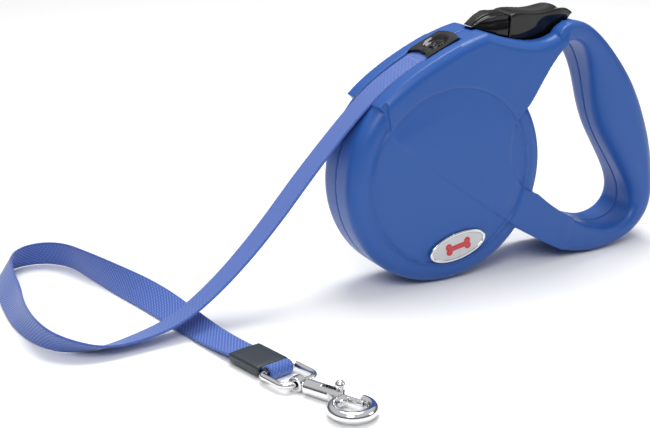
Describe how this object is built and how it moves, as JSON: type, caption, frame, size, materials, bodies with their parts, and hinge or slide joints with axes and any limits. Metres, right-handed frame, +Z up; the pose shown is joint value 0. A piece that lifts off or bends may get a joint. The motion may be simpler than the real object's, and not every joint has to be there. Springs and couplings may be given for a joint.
{
  "type": "retractable leash",
  "caption": "Retractable dog leash: round spring-reel casing with a loop handle, thumb brake, flat webbing tape and a swivel bolt snap.",
  "frame": {"origin": "on the surface that the casing stands on, below the middle of the casing with its handle", "axes": "+X from the tape's side to the handle, +Y through the casing's width away from the badge, +Z up"},
  "size_m": [0.283, 0.1973, 0.1091],
  "materials": {
    "casing_blue": "satin moulded plastic with a fine grain",
    "black_gloss": "polished moulded plastic",
    "badge_chrome": "bright plated rim",
    "badge_silver": "pale silver face under a clear coat",
    "badge_red": "raised red enamel",
    "tape_blue": "woven nylon tape with diagonal ribs",
    "sleeve_rubber": "dark slate rubber",
    "bush_black": "plain black acetal",
    "bright_chrome": "polished chrome plate",
    "spring_steel": "blued spring steel",
    "spool_grey": "plain grey acetal",
    "pin_steel": "turned steel"
  },
  "bodies": {
    "casing": {"near_shell": "casing_blue", "far_shell": "casing_blue", "housing_screws": "pin_steel", "spool_arbor": "pin_steel", "brake_pivot_pin": "pin_steel", "brake_spring": "spring_steel", "tape_guide": "black_gloss", "badge_rim": "badge_chrome", "badge_plate": "badge_silver", "badge_emblem": "badge_red", "inner_tape": "tape_blue", "leash_tape": "tape_blue", "tape_end_sleeve": "sleeve_rubber", "tape_end_loop": "tape_blue", "loop_bush": "bush_black"},
    "spool": {"spool_drum": "spool_grey", "spool_cover": "spool_grey", "tape_roll": "tape_blue", "tape_anchor_pin": "pin_steel", "power_spring": "spring_steel"},
    "brake": {"brake_button": "black_gloss", "brake_pawl": "spool_grey"},
    "lock": {"lock_slider": "black_gloss"},
    "ring": {"swivel_ring": "bright_chrome"},
    "eye": {"hook_swivel": "bright_chrome"},
    "hook": {"snap_hook_body": "bright_chrome", "snap_bolt_spring": "spring_steel"},
    "bolt": {"snap_hook_bolt": "bright_chrome"}
  },
  "joints": [
    {"name": "spool_spin", "type": "hinge", "parent": "casing", "child": "spool", "pos_m": [-0.032, 0, 0.046], "axis": [0, -1, 0], "range_deg": [-630, 9915]},
    {"name": "brake_press", "type": "hinge", "parent": "casing", "child": "brake", "pos_m": [-0.012, 0, 0.095], "axis": [0, 1, 0], "range_deg": [0, 4], "stiffness_Nm_per_rad": 1.2, "springref_deg": -5.73, "deforming": ["brake_spring"]},
    {"name": "lock_slide", "type": "slide", "parent": "casing", "child": "lock", "axis": [-0.9481, 0, 0.318], "range_m": [0, 0.004]},
    {"name": "ring_swing", "type": "hinge", "parent": "casing", "child": "ring", "pos_m": [-0.13467, -0.06036, 0.0029], "axis": [-0.978, -0.2086, 0], "range_deg": [-85, 85]},
    {"name": "eye_swing", "type": "hinge", "parent": "ring", "child": "eye", "pos_m": [-0.13383, -0.07389, 0.0029], "axis": [-0.978, -0.2086, 0], "range_deg": [-80, 80]},
    {"name": "swivel_spin", "type": "hinge", "parent": "eye", "child": "hook", "pos_m": [-0.13383, -0.07389, 0.0029], "axis": [0.439, -0.8985, 0], "continuous": true},
    {"name": "bolt_slide", "type": "slide", "parent": "hook", "child": "bolt", "axis": [-0.439, 0.8985, 0], "range_m": [0, 0.006], "stiffness_N_per_m": 250, "springref_m": -0.004, "deforming": ["snap_bolt_spring"]}
  ]
}
